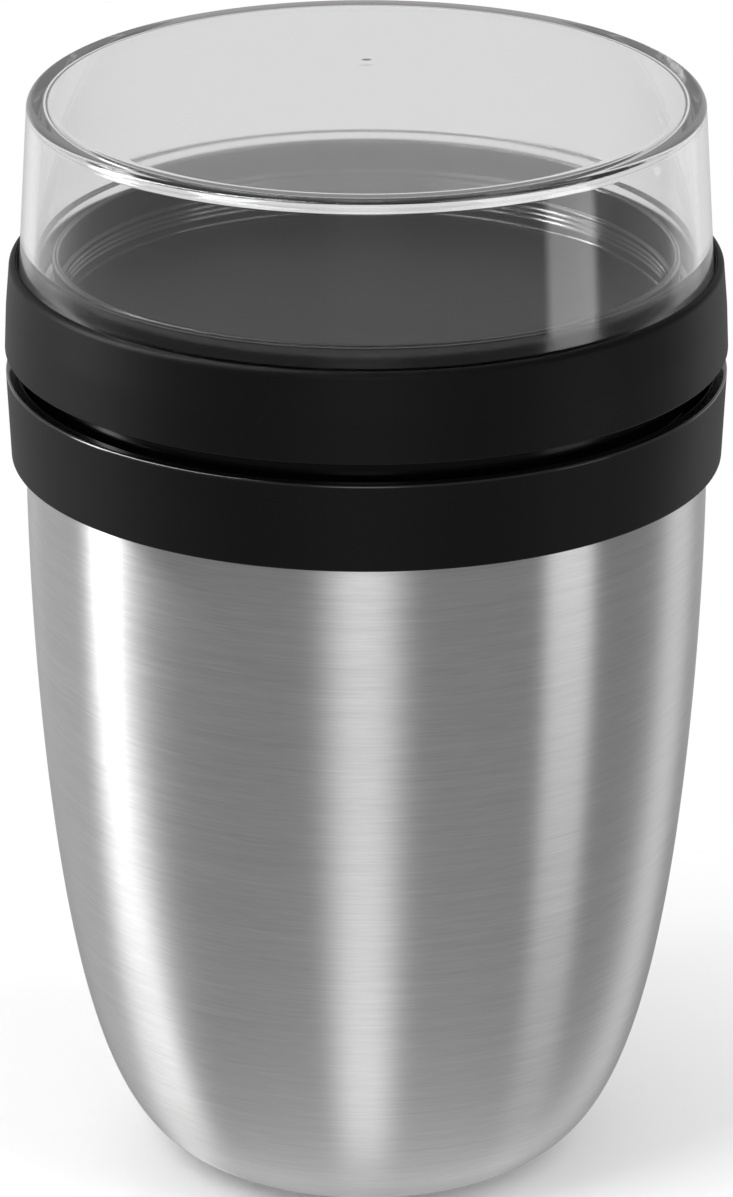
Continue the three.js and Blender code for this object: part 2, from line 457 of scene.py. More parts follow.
def cleared(block: bpy.types.Material | bpy.types.World) -> bpy.types.NodeTree:
    """Give a material or a world an empty node tree.

    Args:
        block: The material or the world.

    Returns:
        Its node tree.
    """
    block.use_nodes = True
    block.node_tree.nodes.clear()
    return block.node_tree


def grey(tone: float) -> Colour:
    """Give an opaque grey of one tone."""
    return (tone, tone, tone, 1.0)


@dataclass(frozen=True)
class Finish:
    """A finish of one kind of surface.

    Attributes:
        name: The material's name.
        slot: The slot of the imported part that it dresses.
    """

    name: str
    slot: Slot

    def make(self) -> bpy.types.Material:
        """Build the material.

        Returns:
            The new material.
        """
        material = bpy.data.materials.new(self.name)
        surface = Surface(cleared(material))
        self.dress(surface)
        surface.node("ShaderNodeOutputMaterial", {"Surface": self.shown(surface).outputs[0]})
        return material

    def shown(self, surface: Surface) -> bpy.types.Node:
        """Give the shader that the material shows."""
        return surface.shader

    def dress(self, surface: Surface) -> None:
        """Set the shader's sockets.

        Args:
            surface: The material's nodes.
        """
        raise NotImplementedError


@dataclass(frozen=True)
class Brush:
    """One layer of brush marks.

    Attributes:
        level: Marks for each metre along the brushing.
        up: Marks for each metre of height.
        detail: How many finer layers it has.
        share: Its share of all the marks.
    """

    level: float
    up: float
    detail: float
    share: float


@dataclass(frozen=True)
class BrushedSteel(Finish):
    """Steel brushed round the pot, with fine lines, short marks and longer soft streaks.

    Attributes:
        tone: How much light the steel gives back.
        gloss: The average roughness.
        spread: How far the roughness wanders with the marks.
        contrast: How many times further the tone wanders.
        patches: Broad patches for each metre.
        patch_spread: How far the tone wanders with the patches.
        stretch: How far the brushing stretches a reflection.
        turn: The direction of the brushing, as a share of a turn.
        strength: The share of the marks' relief that shows.
        depth: The depth of the marks in millimetres.
        brushes: The layers of marks.
    """

    tone: float = 0.58
    gloss: float = 0.3
    spread: float = 0.12
    contrast: float = 3.0
    patches: float = 16.0
    patch_spread: float = 0.04
    stretch: float = 0.94
    turn: float = 0.25
    strength: float = 0.18
    depth: float = 0.012
    brushes: tuple[Brush, ...] = (
        Brush(level=34.0, up=5200.0, detail=3.0, share=0.35),
        Brush(level=190.0, up=5200.0 * 0.7, detail=2.0, share=0.4),
        Brush(level=22.0, up=5200.0 / 6, detail=2.0, share=0.25),
    )

    def dress(self, surface: Surface) -> None:
        """Set the shader's sockets.

        Args:
            surface: The material's nodes.
        """
        layers = []
        for brush in self.brushes:
            layers.append(surface.noise(brush.level, brush.up, brush.detail) * brush.share)
        marks = sum(layers[1:], layers[0])
        patch = surface.clouds(self.patches, detail=1.0)
        tone = marks.swing(self.spread) * self.contrast + patch.swing(self.patch_spread) + self.tone
        colour = surface.value("ShaderNodeCombineColor", {0: tone, 1: tone, 2: tone})
        surface.dress(Base_Color=colour, Roughness=marks.swing(self.spread) + self.gloss, Metallic=1.0)
        surface.dress(Anisotropic=self.stretch, Anisotropic_Rotation=self.turn)
        surface.bump(marks, self.strength, self.depth)


@dataclass(frozen=True)
class BlackMoulding(Finish):
    """Black moulded plastic with a fine spark-eroded grain.

    Attributes:
        tone: The plastic's own tone.
        dark: Its darkest share of that tone.
        light: Its lightest share of that tone.
        gloss: The average roughness.
        uneven: How far the roughness wanders in clouds.
        speckle: How far it wanders with the grain.
        shine: How strongly the surface mirrors, where 0.5 is plain plastic.
        grains: Grains for each metre.
        clouds: Clouds for each metre.
        strength: The share of the grain's relief that shows.
        depth: The depth of the grain in millimetres.
    """

    tone: float = 0.0012
    dark: float = 0.85
    light: float = 1.2
    gloss: float = 0.48
    uneven: float = 0.08
    speckle: float = 0.06
    shine: float = 0.165
    grains: float = 5200.0
    clouds: float = 45.0
    strength: float = 0.25
    depth: float = 0.006

    def dress(self, surface: Surface) -> None:
        """Set the shader's sockets.

        Args:
            surface: The material's nodes.
        """
        grain = surface.clouds(self.grains, detail=2.0)
        cloud = surface.clouds(self.clouds, detail=3.0)
        shade = surface.mix(cloud, grey(self.tone * self.dark), grey(self.tone * self.light))
        uneven = cloud.swing(self.uneven) + grain.swing(self.speckle)
        surface.dress(Base_Color=shade, Roughness=uneven + self.roughness(surface))
        surface.dress(Specular_IOR_Level=self.shine)
        surface.bump(grain, self.strength, self.depth)

    def roughness(self, surface: Surface) -> Value | float:
        """Give the average roughness of the surface."""
        return self.gloss


@dataclass(frozen=True)
class CollarMoulding(BlackMoulding):
    """The black of the collar, with a polished lip.

    Attributes:
        lip: The height at which the polish starts, in millimetres.
        blend: Half the height over which it starts, in millimetres.
        coat: The roughness of the gloss on the lip.
    """

    lip: float = 123.35
    blend: float = 0.1
    coat: float = 0.08

    def dress(self, surface: Surface) -> None:
        """Set the shader's sockets.

        Args:
            surface: The material's nodes.
        """
        super().dress(surface)
        height = surface.spot()[1]
        polished = height.smooth(self.lip - self.blend, self.lip + self.blend)
        surface.dress(Coat_Weight=polished, Coat_Roughness=self.coat)


@dataclass(frozen=True)
class LidMoulding(BlackMoulding):
    """The black of the lid, with polished walls round the tray and a polished neck.

    Attributes:
        satin: The roughness of the tray's floor.
        polish: The roughness of the polished parts.
        coat: The roughness of the gloss on the walls.
        wall_inner: The radius at which the walls' polish starts, in millimetres.
        wall_outer: The radius at which it ends, in millimetres.
        wall_blend: The width over which it starts and ends, in millimetres.
        wall_bottom: The height above which the walls are polished, in millimetres.
        bottom_blend: The height over which their polish starts, in millimetres.
        tray_blend: The height over which the tray's satin starts, in millimetres.
        neck: The radius within which the neck is polished, in millimetres.
        neck_blend: The width over which its polish ends, in millimetres.
        neck_top: The height at which the neck ends, in millimetres.
        top_blend: The height over which its polish ends, in millimetres.
    """

    satin: float = 0.5
    polish: float = 0.16
    coat: float = 0.05
    wall_inner: float = 43.8
    wall_outer: float = 46.6
    wall_blend: float = 0.4
    wall_bottom: float = 133.45
    bottom_blend: float = 0.3
    tray_blend: float = 1.0
    neck: float = 51.2
    neck_blend: float = 0.3
    neck_top: float = 131.0
    top_blend: float = 0.5

    def dress(self, surface: Surface) -> None:
        """Set the shader's sockets.

        Args:
            surface: The material's nodes.
        """
        super().dress(surface)
        surface.dress(Coat_Weight=self.walls(surface), Coat_Roughness=self.coat)

    def roughness(self, surface: Surface) -> Value:
        """Give the roughness: a satin tray, polished walls and neck, and the grain elsewhere.

        Args:
            surface: The material's nodes.

        Returns:
            The roughness.
        """
        radius, height = surface.spot()
        tray = 1 - radius.smooth(self.wall_outer, self.wall_outer + self.wall_blend)
        tray = tray * height.smooth(self.wall_bottom - self.tray_blend, self.wall_bottom)
        neck = 1 - radius.smooth(self.neck, self.neck + self.neck_blend)
        neck = neck * (1 - height.smooth(self.neck_top, self.neck_top + self.top_blend))
        rough = tray * (self.satin - self.gloss) + neck * (self.polish - self.gloss) + self.gloss
        return self.walls(surface) * (self.polish - self.satin) + rough

    def walls(self, surface: Surface) -> Value:
        """Mark the polished walls.

        Args:
            surface: The material's nodes.

        Returns:
            1 on the walls round the tray and 0 elsewhere.
        """
        radius, height = surface.spot()
        ring = radius.smooth(self.wall_inner, self.wall_inner + self.wall_blend)
        ring = ring * (1 - radius.smooth(self.wall_outer, self.wall_outer + self.wall_blend))
        return ring * height.smooth(self.wall_bottom, self.wall_bottom + self.bottom_blend)


@dataclass(frozen=True)
class ClearPlastic(Finish):
    """Clear polished plastic with a frosted skirt, and a painted glow where rays have bounced many
    times.

    Attributes:
        tone: The share of light that each surface lets through.
        index: The refractive index.
        painted_glow: The tone of the painted glow, a fixed emission that stands in for light that has
            run along inside the wall.
        bounces: The ray depth from which the cover shows the painted glow instead of its own shading.
        polish: The roughness of the polished part.
        frost: The roughness of the skirt.
        skirt_top: The height at which the frosted skirt ends, in millimetres.
        blend: Half the height over which it ends, in millimetres.
        hazes: Patches of haze for each metre.
        haze: How far the roughness wanders with the haze.
    """

    tone: float = 0.985
    index: float = 1.55
    painted_glow: float = 0.19
    bounces: int = 6
    polish: float = 0.02
    frost: float = 0.15
    skirt_top: float = 142.8
    blend: float = 0.2
    hazes: float = 60.0
    haze: float = 0.02

    def dress(self, surface: Surface) -> None:
        """Set the shader's sockets.

        Args:
            surface: The material's nodes.
        """
        haze = surface.clouds(self.hazes, detail=2.0)
        height = surface.spot()[1]
        skirt = 1 - height.smooth(self.skirt_top - self.blend, self.skirt_top + self.blend)
        rough = skirt * (self.frost - self.polish) + self.polish
        surface.dress(Base_Color=grey(self.tone), Roughness=haze.swing(self.haze) + rough)
        surface.dress(Transmission_Weight=1.0, IOR=self.index)

    def shown(self, surface: Surface) -> bpy.types.Node:
        """Paint a pale glow, a fixed emission, on rays that have bounced many times, in place of light
        run along inside the wall.

        Args:
            surface: The material's nodes.

        Returns:
            The mixed shader.
        """
        # Painted light: from the given ray depth on, the cover shows a fixed pale emission instead of
        # light piped along its wall.
        depth = surface.value("ShaderNodeLightPath", output="Ray Depth")
        painted_glow_share = 1 - depth.below(self.bounces)
        painted_glow = surface.node("ShaderNodeEmission", {"Color": grey(self.painted_glow), "Strength": 1.0})
        return surface.blend(painted_glow_share, surface.shader, painted_glow)


@dataclass(frozen=True)
class Silicone(Finish):
    """Pale soft silicone with a faint bloom.

    Attributes:
        tone: The silicone's own tone.
        dark: Its darkest share of that tone.
        light: Its lightest share of that tone.
        blooms: Patches of bloom for each metre.
        gloss: The roughness without bloom.
        dull: How much the bloom adds to it.
        strength: The share of the bloom's relief that shows.
        depth: The depth of the bloom in millimetres.
    """

    tone: float = 0.62
    dark: float = 0.92
    light: float = 1.06
    blooms: float = 180.0
    gloss: float = 0.42
    dull: float = 0.2
    strength: float = 0.1
    depth: float = 0.02

    def dress(self, surface: Surface) -> None:
        """Set the shader's sockets.

        Args:
            surface: The material's nodes.
        """
        bloom = surface.clouds(self.blooms, detail=3.0)
        shade = surface.mix(bloom, grey(self.tone * self.dark), grey(self.tone * self.light))
        surface.dress(Base_Color=shade, Roughness=bloom * self.dull + self.gloss)
        surface.bump(bloom, self.strength, self.depth)


@dataclass(frozen=True)
class SatinSteel(Finish):
    """Drawn steel with a plain satin finish.

    Attributes:
        tone: How much light the steel gives back.
        dark: Its darkest share of that tone.
        light: Its lightest share of that tone.
        gloss: The average roughness.
        spread: How far the roughness wanders with the drawing lines.
        uneven: How far it wanders in clouds.
        runs: Drawing lines for each metre along them.
        lines: Drawing lines for each metre of height.
        clouds: Clouds for each metre.
        stretch: How far the lines stretch a reflection.
        turn: The direction of the lines, as a share of a turn.
        strength: The share of the lines' relief that shows.
        depth: The depth of the lines in millimetres.
    """

    tone: float = 0.52
    dark: float = 0.92
    light: float = 1.08
    gloss: float = 0.34
    spread: float = 0.1
    uneven: float = 0.08
    runs: float = 30.0
    lines: float = 900.0
    clouds: float = 40.0
    stretch: float = 0.5
    turn: float = 0.25
    strength: float = 0.15
    depth: float = 0.015

    def dress(self, surface: Surface) -> None:
        """Set the shader's sockets.

        Args:
            surface: The material's nodes.
        """
        drawn = surface.noise(self.runs, self.lines, detail=3.0)
        cloud = surface.clouds(self.clouds, detail=2.0)
        shade = surface.mix(drawn, grey(self.tone * self.dark), grey(self.tone * self.light))
        rough = drawn.swing(self.spread) + cloud.swing(self.uneven) + self.gloss
        surface.dress(Base_Color=shade, Roughness=rough, Metallic=1.0)
        surface.dress(Anisotropic=self.stretch, Anisotropic_Rotation=self.turn)
        surface.bump(drawn, self.strength, self.depth)


@dataclass(frozen=True)
class Hidden(Finish):
    """A plain finish with a little mottling for the pieces inside the walls.

    Attributes:
        colour: The lightest colour.
        gloss: The roughness.
        metal: How metallic the piece is.
        dark: The darkest share of the colour.
        mottles: Mottles for each metre.
        strength: The share of the mottles' relief that shows.
        depth: The depth of the mottles in millimetres.
    """

    colour: Colour = (0.8, 0.8, 0.8, 1.0)
    gloss: float = 0.6
    metal: float = 0.0
    dark: float = 0.8
    mottles: float = 400.0
    strength: float = 0.3
    depth: float = 0.05

    def dress(self, surface: Surface) -> None:
        """Set the shader's sockets.

        Args:
            surface: The material's nodes.
        """
        mottle = surface.clouds(self.mottles, detail=3.0)
        red, green, blue, _ = self.colour
        darkest = (red * self.dark, green * self.dark, blue * self.dark, 1.0)
        shade = surface.mix(mottle, darkest, self.colour)
        surface.dress(Base_Color=shade, Roughness=self.gloss, Metallic=self.metal)
        surface.bump(mottle, self.strength, self.depth)


@dataclass(frozen=True)
class Corner:
    """A corner of a turned profile.

    Attributes:
        radius: Its distance from the axis.
        height: Its height above the base.
        round: The radius of its rounding.
    """

    radius: float
    height: float
    round: float = 0.0

    @property
    def spot(self) -> complex:
        """Give its place as one number, with the radius as the real part."""
        return complex(self.radius, self.height)


def rounded(corners: list[Corner], steps: int = 6, closed: bool = True) -> list[Point]:
    """Round the corners of a profile and hold the flats between them.

    Args:
        corners: The corners in order.
        steps: Faces in one rounding.
        closed: Whether the last corner joins the first.

    Returns:
        The points of the profile.
    """
    points: list[complex] = []
    count = len(corners)
    for index, corner in enumerate(corners):
        at_end = not closed and index in (0, count - 1)
        if corner.round <= 0 or at_end:
            points.append(corner.spot)
        else:
            before = corners[index - 1].spot
            after = corners[(index + 1) % count].spot
            points.extend(rounding(before, corner, after, steps))
    return [(point.real, point.imag) for point in points]


def rounding(before: complex, corner: Corner, after: complex, steps: int) -> list[complex]:
    """Draw one rounding with a short flat on each side.

    Args:
        before: The place of the corner before.
        corner: The corner to round.
        after: The place of the corner after.
        steps: Faces in the rounding.

    Returns:
        The points, from the flat before to the flat after.
    """
    into = (corner.spot - before) / abs(corner.spot - before)
    out = (after - corner.spot) / abs(after - corner.spot)
    turn = cmath.phase(out / into)
    reach = corner.round * math.tan(abs(turn) / 2)
    support = min(SUPPORT, reach)
    start = corner.spot - into * reach
    centre = start + into * complex(0.0, math.copysign(corner.round, turn))
    arc = []
    for step in range(steps + 1):
        arc.append(centre + (start - centre) * cmath.rect(1.0, turn * step / steps))
    return [start - into * support, *arc, arc[-1] + out * support]


def turned(name: str, points: list[Point], facets: int = FACETS) -> bpy.types.Object:
    """Turn a profile about the Z axis into a closed smooth mesh.

    Args:
        name: The piece's name.
        points: The profile in millimetres. It closes on itself or starts and ends on the axis.
        facets: Faces round the axis.

    Returns:
        The new object.
    """
    shape = bmesh.new()
    rings = [turned_ring(shape, point, facets) for point in points]
    pairs = list(zip(rings, rings[1:]))
    if len(rings[0]) > 1:
        pairs.append((rings[-1], rings[0]))
    for low, high in pairs:
        if len(low) == 1 and len(high) == 1:
            continue
        for step in range(facets):
            after = (step + 1) % facets
            if len(low) == 1:
                shape.faces.new((low[0], high[after], high[step]))
            elif len(high) == 1:
                shape.faces.new((low[step], low[after], high[0]))
            else:
                shape.faces.new((low[step], low[after], high[after], high[step]))
    mesh = bpy.data.meshes.new(name)
    bmesh.ops.recalc_face_normals(shape, faces=shape.faces)
    shape.to_mesh(mesh)
    shape.free()
    mesh.shade_smooth()
    return placed(name, mesh)


def turned_ring(shape: bmesh.types.BMesh, point: Point, facets: int) -> list[bmesh.types.BMVert]:
    """Turn one point of a profile about the Z axis.

    Args:
        shape: The mesh to add to.
        point: The point in millimetres.
        facets: Points round the axis.

    Returns:
        The new points, or a single one where the point lies on the axis.
    """
    radius, height = point
    if radius < ON_AXIS:
        return [shape.verts.new((0.0, 0.0, height * MM))]
    ring = []
    for step in range(facets):
        angle = 2 * math.pi * step / facets
        across = radius * MM * math.cos(angle)
        deep = radius * MM * math.sin(angle)
        ring.append(shape.verts.new((across, deep, height * MM)))
    return ring


def placed(name: str, data: bpy.types.ID) -> bpy.types.Object:
    """Add an object to the scene.

    Args:
        name: The object's name.
        data: Its mesh, lamp or camera.

    Returns:
        The new object.
    """
    thing = bpy.data.objects.new(name, data)
    bpy.context.scene.collection.objects.link(thing)
    return thing


@dataclass
class Finishes:
    """All the materials of the pot, each made at its first use.

    Attributes:
        brushed: The finish of the shell.
        plain: The finish of the vessel and the base disc.
        ring: The finish of the thread ridges and the liner.
        collar: The finish of the collar.
        lid: The finish of the tray lid.
        clear: The finish of the cover.
        seal: The finish of the seals.
        foam: The finish of the foam in the lid.
        getter: The finish of the getter in the vacuum gap.
        solder: The finish of the bead that closes the gap.
        made: The materials made so far, by name.
    """

    brushed: Finish = BrushedSteel("brushed_steel", Slot.BRUSHED)
    plain: Finish = SatinSteel("satin_steel", Slot.PLAIN)
    ring: Finish = BlackMoulding("black_moulding", Slot.BLACK)
    collar: Finish = CollarMoulding("collar_moulding", Slot.BLACK)
    lid: Finish = LidMoulding("lid_moulding", Slot.BLACK)
    clear: Finish = ClearPlastic("clear_plastic", Slot.CLEAR)
    seal: Finish = Silicone("pale_silicone", Slot.SILICONE)
    foam: Finish = Hidden("lid_foam", Slot.FOAM, (0.8, 0.77, 0.69, 1.0), gloss=0.9)
    getter: Finish = Hidden("getter_metal", Slot.GETTER, (0.3, 0.3, 0.31, 1.0), gloss=0.6, metal=0.8)
    solder: Finish = Hidden("glass_solder", Slot.SOLDER, (0.05, 0.07, 0.06, 1.0), gloss=0.2)
    made: dict[str, bpy.types.Material] = field(default_factory=dict)

    def material(self, finish: Finish) -> bpy.types.Material:
        """Give a finish's material, made at its first use.

        Args:
            finish: The finish.

        Returns:
            Its material.
        """
        if finish.name not in self.made:
            self.made[finish.name] = finish.make()
        return self.made[finish.name]

    def dress(self, piece: bpy.types.Object, finish: Finish, body: Body, *nodes: str) -> None:
        """Give a piece its material, its body and the nodes it stands for.

        Args:
            piece: The new piece.
            finish: Its finish.
            body: The body it moves with.
            nodes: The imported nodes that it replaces.
        """
        piece.data.materials.clear()
        piece.data.materials.append(self.material(finish))
        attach(piece, body.value)
        if nodes:
            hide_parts(*nodes)
        LOG.info("%s: %d faces on %s", piece.name, len(piece.data.polygons), body.value)

    def paint(self, node: bpy.types.Object, finish: Finish) -> None:
        """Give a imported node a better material.

        Args:
            node: The node's object.
            finish: Its finish.
        """
        for holder in node.material_slots:
            holder.material = self.material(finish)
        LOG.info("%s: painted with %s", node.name, finish.name)


@dataclass(frozen=True)
class Bowl:
    """The rule of a steel bowl: how wide it is at each height.

    Attributes:
        radius: The widest radius.
        height: The height at which the rule reaches it.
        curve: How fast the wall leaves the vertical.
        fullness: How square the foot is.
        cut: How much of the rule lies below the base.
    """

    radius: float = 50.42
    height: float = 107.45
    curve: float = 1.598
    fullness: float = 5.748
    cut: float = 1.2

    def width(self, height: float) -> float:
        """Give the radius at a height above the bowl's base.

        Args:
            height: The height in millimetres.

        Returns:
            The radius in millimetres.
        """
        rest = max(0.0, 1 - (height + self.cut) / self.height)
        return self.radius * (1 - rest**self.curve) ** (1 / self.fullness)


@dataclass
class SteelPot:
    """The double-walled steel pot.

    Attributes:
        bowl: The rule of the outer wall.
        sheet: The thickness of the steel.
        top: The height of the shell's upper edge.
        land: The inner radius of the land that the pot stands on.
        recess: The radius of the recess under the base.
        depth: The depth of that recess.
        dimple: The radius of the seal-off dimple.
        dimple_slope: The width of its slope.
        dimple_depth: Its depth.
        hole: The radius of the seal-off hole.
        groove: The height of the groove near the shell's upper edge.
        groove_depth: Its depth.
        groove_floor: Half the height of its floor.
        groove_mouth: Half the height of its mouth.
        vessel_radius: The widest radius of the inner vessel.
        vessel_base: The height of the inner vessel's floor.
        mouth: The rounding of the mouth.
        flange: The radius of the mouth's flange.
        disc_dish: How far the middle of the base disc is raised.
        disc_flat: The radius of that middle, as a share of the disc's.
        disc_brim: The radius at which the disc's brim starts, as a share of the disc's.
        gap: The clearance between neighbouring pieces.
        rows: Faces up the shell's wall.
        base_rows: Faces across the shell's base.
        vessel_rows: Faces up the vessel's wall.
        mouth_steps: Faces round the mouth.
    """

    bowl: Bowl = Bowl()
    sheet: float = 0.6
    top: float = 113.4
    land: float = 19.2
    recess: float = 17.0
    depth: float = 1.8
    dimple: float = 5.0
    dimple_slope: float = 2.0
    dimple_depth: float = 1.6
    hole: float = 1.5
    groove: float = 111.9
    groove_depth: float = 0.52
    groove_floor: float = 0.5
    groove_mouth: float = 0.9
    vessel_radius: float = 46.0
    vessel_base: float = 8.0
    mouth: float = 1.6
    flange: float = 50.3
    disc_dish: float = 0.25
    disc_flat: float = 0.72
    disc_brim: float = 0.8
    gap: float = 0.3
    rows: int = 90
    base_rows: int = 30
    vessel_rows: int = 48
    mouth_steps: int = 8

    def build(self, finishes: Finishes, nodes: dict[str, bpy.types.Object]) -> None:
        """Build the pot's pieces.

        Args:
            finishes: The materials.
            nodes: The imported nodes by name.
        """
        shell = self.shell(finishes.material(finishes.brushed))
        finishes.dress(shell, finishes.brushed, Body.POT, "outer_shell")
        finishes.dress(self.vessel(), finishes.plain, Body.POT, "inner_vessel")
        finishes.dress(self.bottom(), finishes.plain, Body.POT, "outer_bottom")
        finishes.paint(nodes["getter"], finishes.getter)
        finishes.paint(nodes["sealing_bead"], finishes.solder)

    def shell(self, material: bpy.types.Material) -> bpy.types.Object:
        """Make the outer shell from the bowl's rule with Geometry Nodes.

        Args:
            material: The brushed steel.

        Returns:
            The shell as a plain mesh.
        """
        tree = bpy.data.node_groups.new("bowl_rule", "GeometryNodeTree")
        graph = Graph(tree)
        sizes = {
            "Radius": self.bowl.radius * MM,
            "Height": self.bowl.height * MM,
            "Curve": self.bowl.curve,
            "Fullness": self.bowl.fullness,
            "Cut": self.bowl.cut * MM,
            "Top": self.top * MM,
        }
        size, settings = graph.inputs(sizes)
        # The first rows of the grid make the base, and the others the wall.
        rows = self.base_rows + self.rows
        grid, turn, row = graph.grid(FACETS, rows, float(rows))
        on_wall = 1 - row.below(self.base_rows + 0.5)
        base_share = (row / self.base_rows).at_most(1.0)
        wall_share = ((row - self.base_rows) / self.rows).at_least(0.0)
        # The square sets the rows closer together near the foot, where the wall curves most.
        height = wall_share**2.0 * size["Top"]
        rest = (1 - (height + size["Cut"]) / size["Height"]).at_least(0.0)
        wall = (1 - rest ** size["Curve"]) ** (1 / size["Fullness"]) * size["Radius"]
        off_groove = abs(height - self.groove * MM)
        groove = 1 - off_groove.smooth(self.groove_floor * MM, self.groove_mouth * MM)
        inner = self.hole * MM
        edge = self.bowl.width(0.0) * MM
        base = base_share * (edge - inner) + inner
        radius = base + (wall - groove * (self.groove_depth * MM) - base) * on_wall
        recess = (1 - base.smooth(self.recess * MM, self.land * MM)) * (self.depth * MM)
        dimple = 1 - base.smooth(self.dimple * MM, (self.dimple + self.dimple_slope) * MM)
        under = (recess + dimple * (self.dimple_depth * MM)) * (1 - on_wall)
        point = graph.polar(radius, turn * (2 * math.pi), height + under)
        graph.finish(graph.bend(grid, point), material)
        return thickened("steel_shell", grown("shell_skin", tree, settings), self.sheet)

    def vessel(self) -> bpy.types.Object:
        """Make the inner vessel, a smaller bowl by the same rule, with its mouth rolled outwards.

        Returns:
            The vessel.
        """
        height = self.bowl.height - self.vessel_base
        rule = Bowl(self.vessel_radius, height, self.bowl.curve, self.bowl.fullness, self.bowl.cut)
        flange_bottom = self.top + self.gap
        rise = flange_bottom - self.mouth - self.vessel_base
        outline: list[Point] = [(0.0, self.vessel_base)]
        for row in range(self.vessel_rows + 1):
            height = rise * (row / self.vessel_rows) ** 2
            outline.append((rule.width(height), self.vessel_base + height))
        centre = complex(self.vessel_radius + self.mouth, flange_bottom - self.mouth)
        for step in range(1, self.mouth_steps + 1):
            angle = math.pi - math.pi / 2 * step / self.mouth_steps
            point = centre + cmath.rect(self.mouth, angle)
            outline.append((point.real, point.imag))
        outline.append((self.flange, flange_bottom))
        return turned("steel_vessel", sheet(outline, self.sheet))

    def bottom(self) -> bpy.types.Object:
        """Make the dished disc that hides the seal-off.

        Returns:
            The disc.
        """
        low = self.depth - self.gap - self.sheet
        high = self.depth - self.gap
        wide = self.recess - self.gap
        corners = [
            Corner(0.0, low + self.disc_dish),
            Corner(wide * self.disc_flat, low + self.disc_dish, round=2.0),
            Corner(wide * self.disc_brim, low, round=2.0),
            Corner(wide, low, round=0.2),
            Corner(wide, high, round=0.2),
            Corner(0.0, high),
        ]
        return turned("base_disc", rounded(corners, closed=False))


def sheet(outline: list[Point], thickness: float) -> list[Point]:
    """Close an outline into a wall of even thickness.

    Args:
        outline: The outer face from the bottom up.
        thickness: The thickness of the wall.

    Returns:
        The closed profile.
    """
    inside = []
    for index, (radius, height) in enumerate(outline):
        before = outline[max(0, index - 1)]
        after = outline[min(len(outline) - 1, index + 1)]
        across = after[0] - before[0]
        up = after[1] - before[1]
        length = math.hypot(across, up)
        inner = max(0.0, radius - up / length * thickness)
        inside.append((inner, height + across / length * thickness))
    inside[0] = (outline[0][0], outline[0][1] + thickness)
    return outline + inside[::-1]


def grown(name: str, tree: bpy.types.NodeTree, settings: dict[str, float]) -> bpy.types.Object:
    """Run a Geometry Nodes tree and keep its result as a plain mesh.

    Args:
        name: The name of the new object.
        tree: The Geometry Nodes tree.
        settings: The tree's inputs by socket identifier.

    Returns:
        The object with a plain mesh and no modifier.
    """
    piece = placed(name, bpy.data.meshes.new(name))
    modifier = piece.modifiers.new("rule", "NODES")
    modifier.node_group = tree
    for identifier, setting in settings.items():
        modifier[identifier] = setting
    bpy.context.view_layer.update()
    ready = piece.evaluated_get(bpy.context.evaluated_depsgraph_get())
    mesh = bpy.data.meshes.new_from_object(ready)
    piece.modifiers.remove(modifier)
    empty = piece.data
    piece.data = mesh
    bpy.data.meshes.remove(empty)
    return piece


def facing_out(piece: bpy.types.Object) -> bpy.types.Object:
    """Turn every closed part of a mesh so that its faces look outwards.

    Args:
        piece: The object to mend.

    Returns:
        The same object.
    """
    shape = bmesh.new()
    shape.from_mesh(piece.data)
    bmesh.ops.recalc_face_normals(shape, faces=shape.faces)
    shape.to_mesh(piece.data)
    shape.free()
    return piece


def thickened(name: str, skin: bpy.types.Object, thickness: float) -> bpy.types.Object:
    """Give an open skin an even thickness inwards and close its edges.

    Args:
        name: The name of the finished piece.
        skin: The outer skin. It is used up.
        thickness: The thickness in millimetres.

    Returns:
        The finished piece.
    """
    shape = bmesh.new()
    shape.from_mesh(skin.data)
    bmesh.ops.recalc_face_normals(shape, faces=shape.faces)
    # An open skin has no inside, so its topmost face shows whether it came out the right way round.
    top = max(shape.faces, key=lambda face: face.calc_center_median().z)
    centre = top.calc_center_median()
    if centre.x * top.normal.x + centre.y * top.normal.y < 0:
        bmesh.ops.reverse_faces(shape, faces=shape.faces)
    shape.to_mesh(skin.data)
    shape.free()
    modifier = skin.modifiers.new("sheet", "SOLIDIFY")
    modifier.thickness = thickness * MM
    modifier.offset = -1.0
    modifier.use_even_offset = True
    ready = skin.evaluated_get(bpy.context.evaluated_depsgraph_get())
    mesh = bpy.data.meshes.new_from_object(ready)
    mesh.name = name
    bpy.data.objects.remove(skin)
    return placed(name, mesh)


